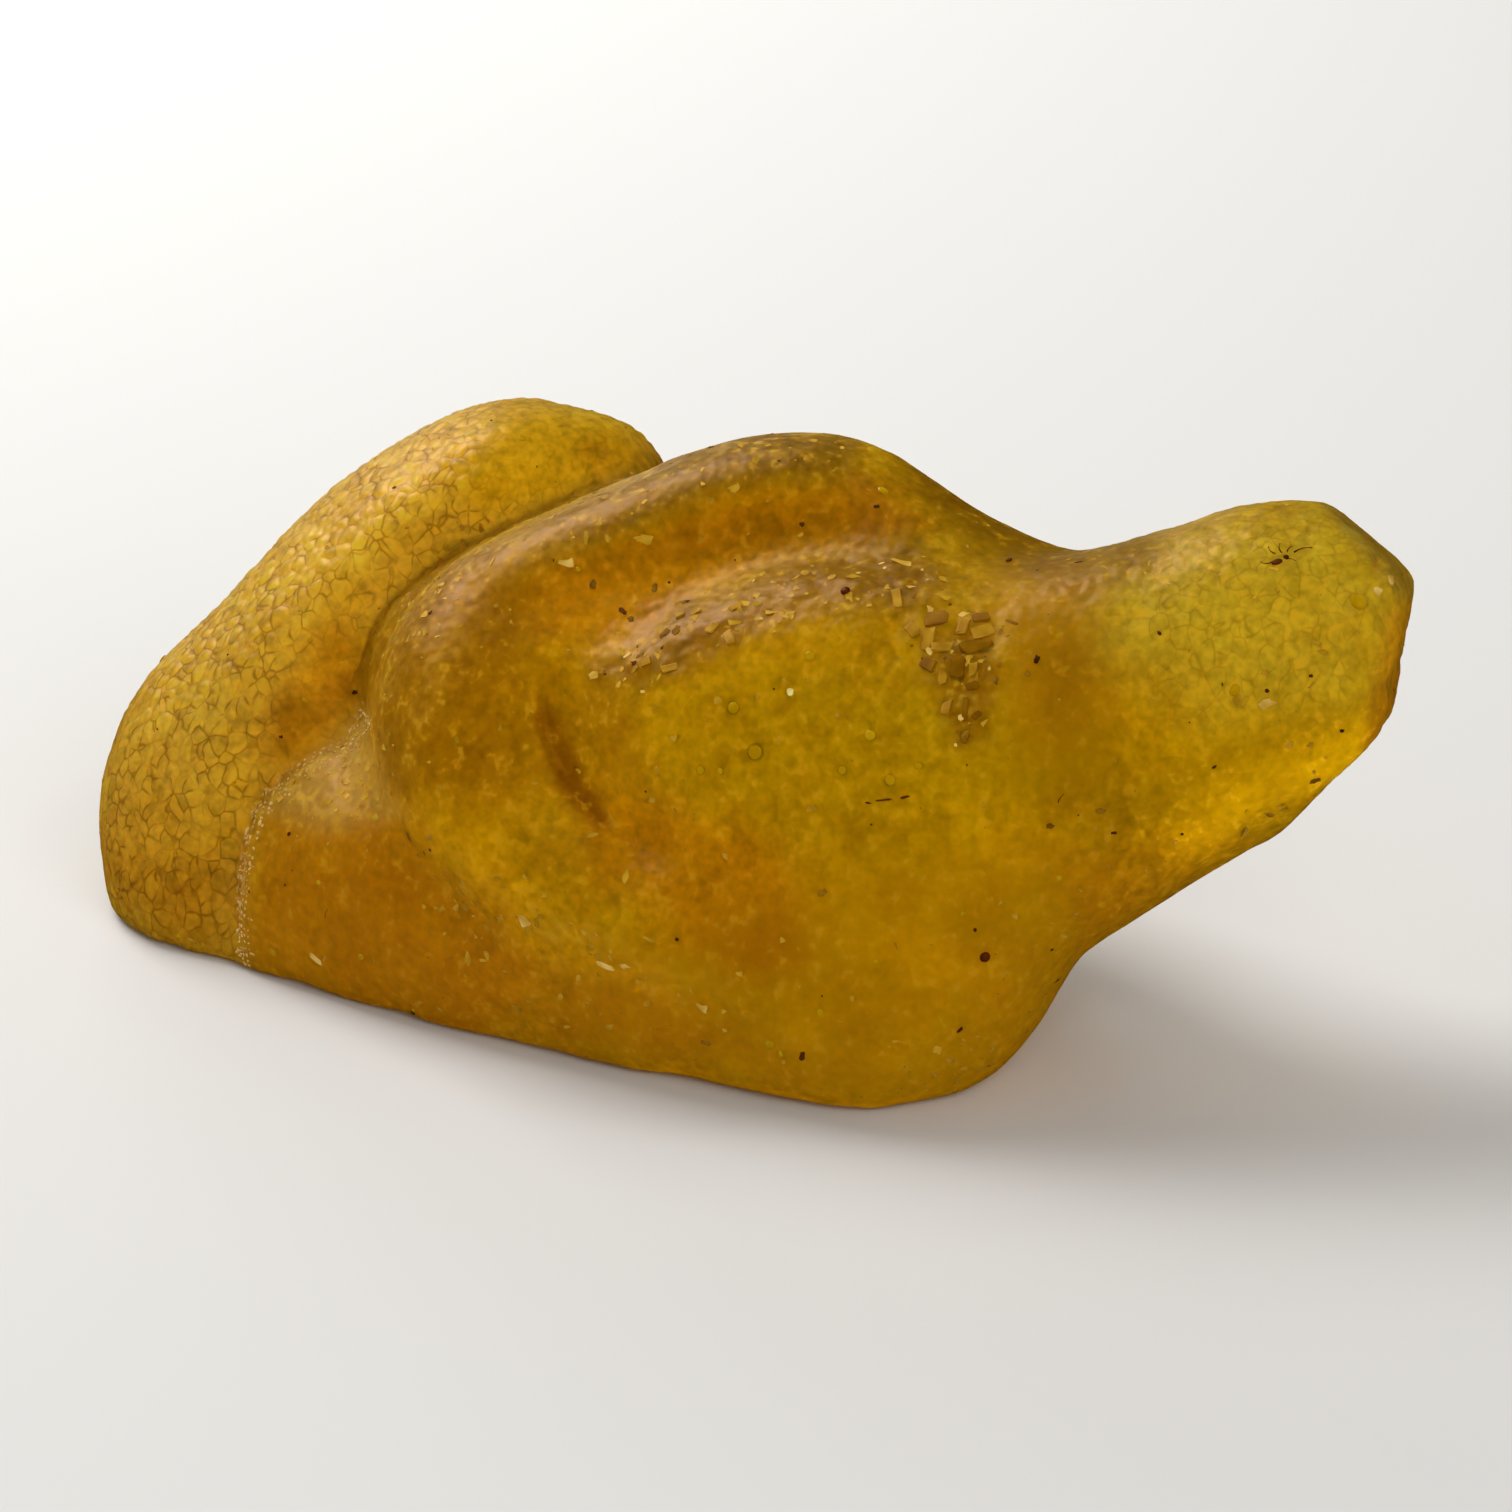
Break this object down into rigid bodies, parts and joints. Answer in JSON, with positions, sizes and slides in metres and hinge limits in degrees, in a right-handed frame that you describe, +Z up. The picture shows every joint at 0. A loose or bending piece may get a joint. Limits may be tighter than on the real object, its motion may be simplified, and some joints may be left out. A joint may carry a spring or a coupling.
{
  "type": "raw amber piece",
  "caption": "Natural lump of raw amber that flowed and folded over itself, with a lobe behind, a curled fold, a blunt chipped snout and a flat foot to rest on.",
  "frame": {"origin": "on the flat foot, under the middle of the nugget's bounding box", "axes": "+X runs along the nugget's length towards the blunt snout, -Y is the front with the curled fold and +Z is up from the flat foot"},
  "size_m": [0.0522, 0.0222, 0.0214],
  "materials": {
    "raw_amber": "cloudy honey-yellow resin with a dull, finely crackled natural skin"
  },
  "bodies": {
    "root": {"amber_nugget": "raw_amber"}
  },
  "joints": []
}
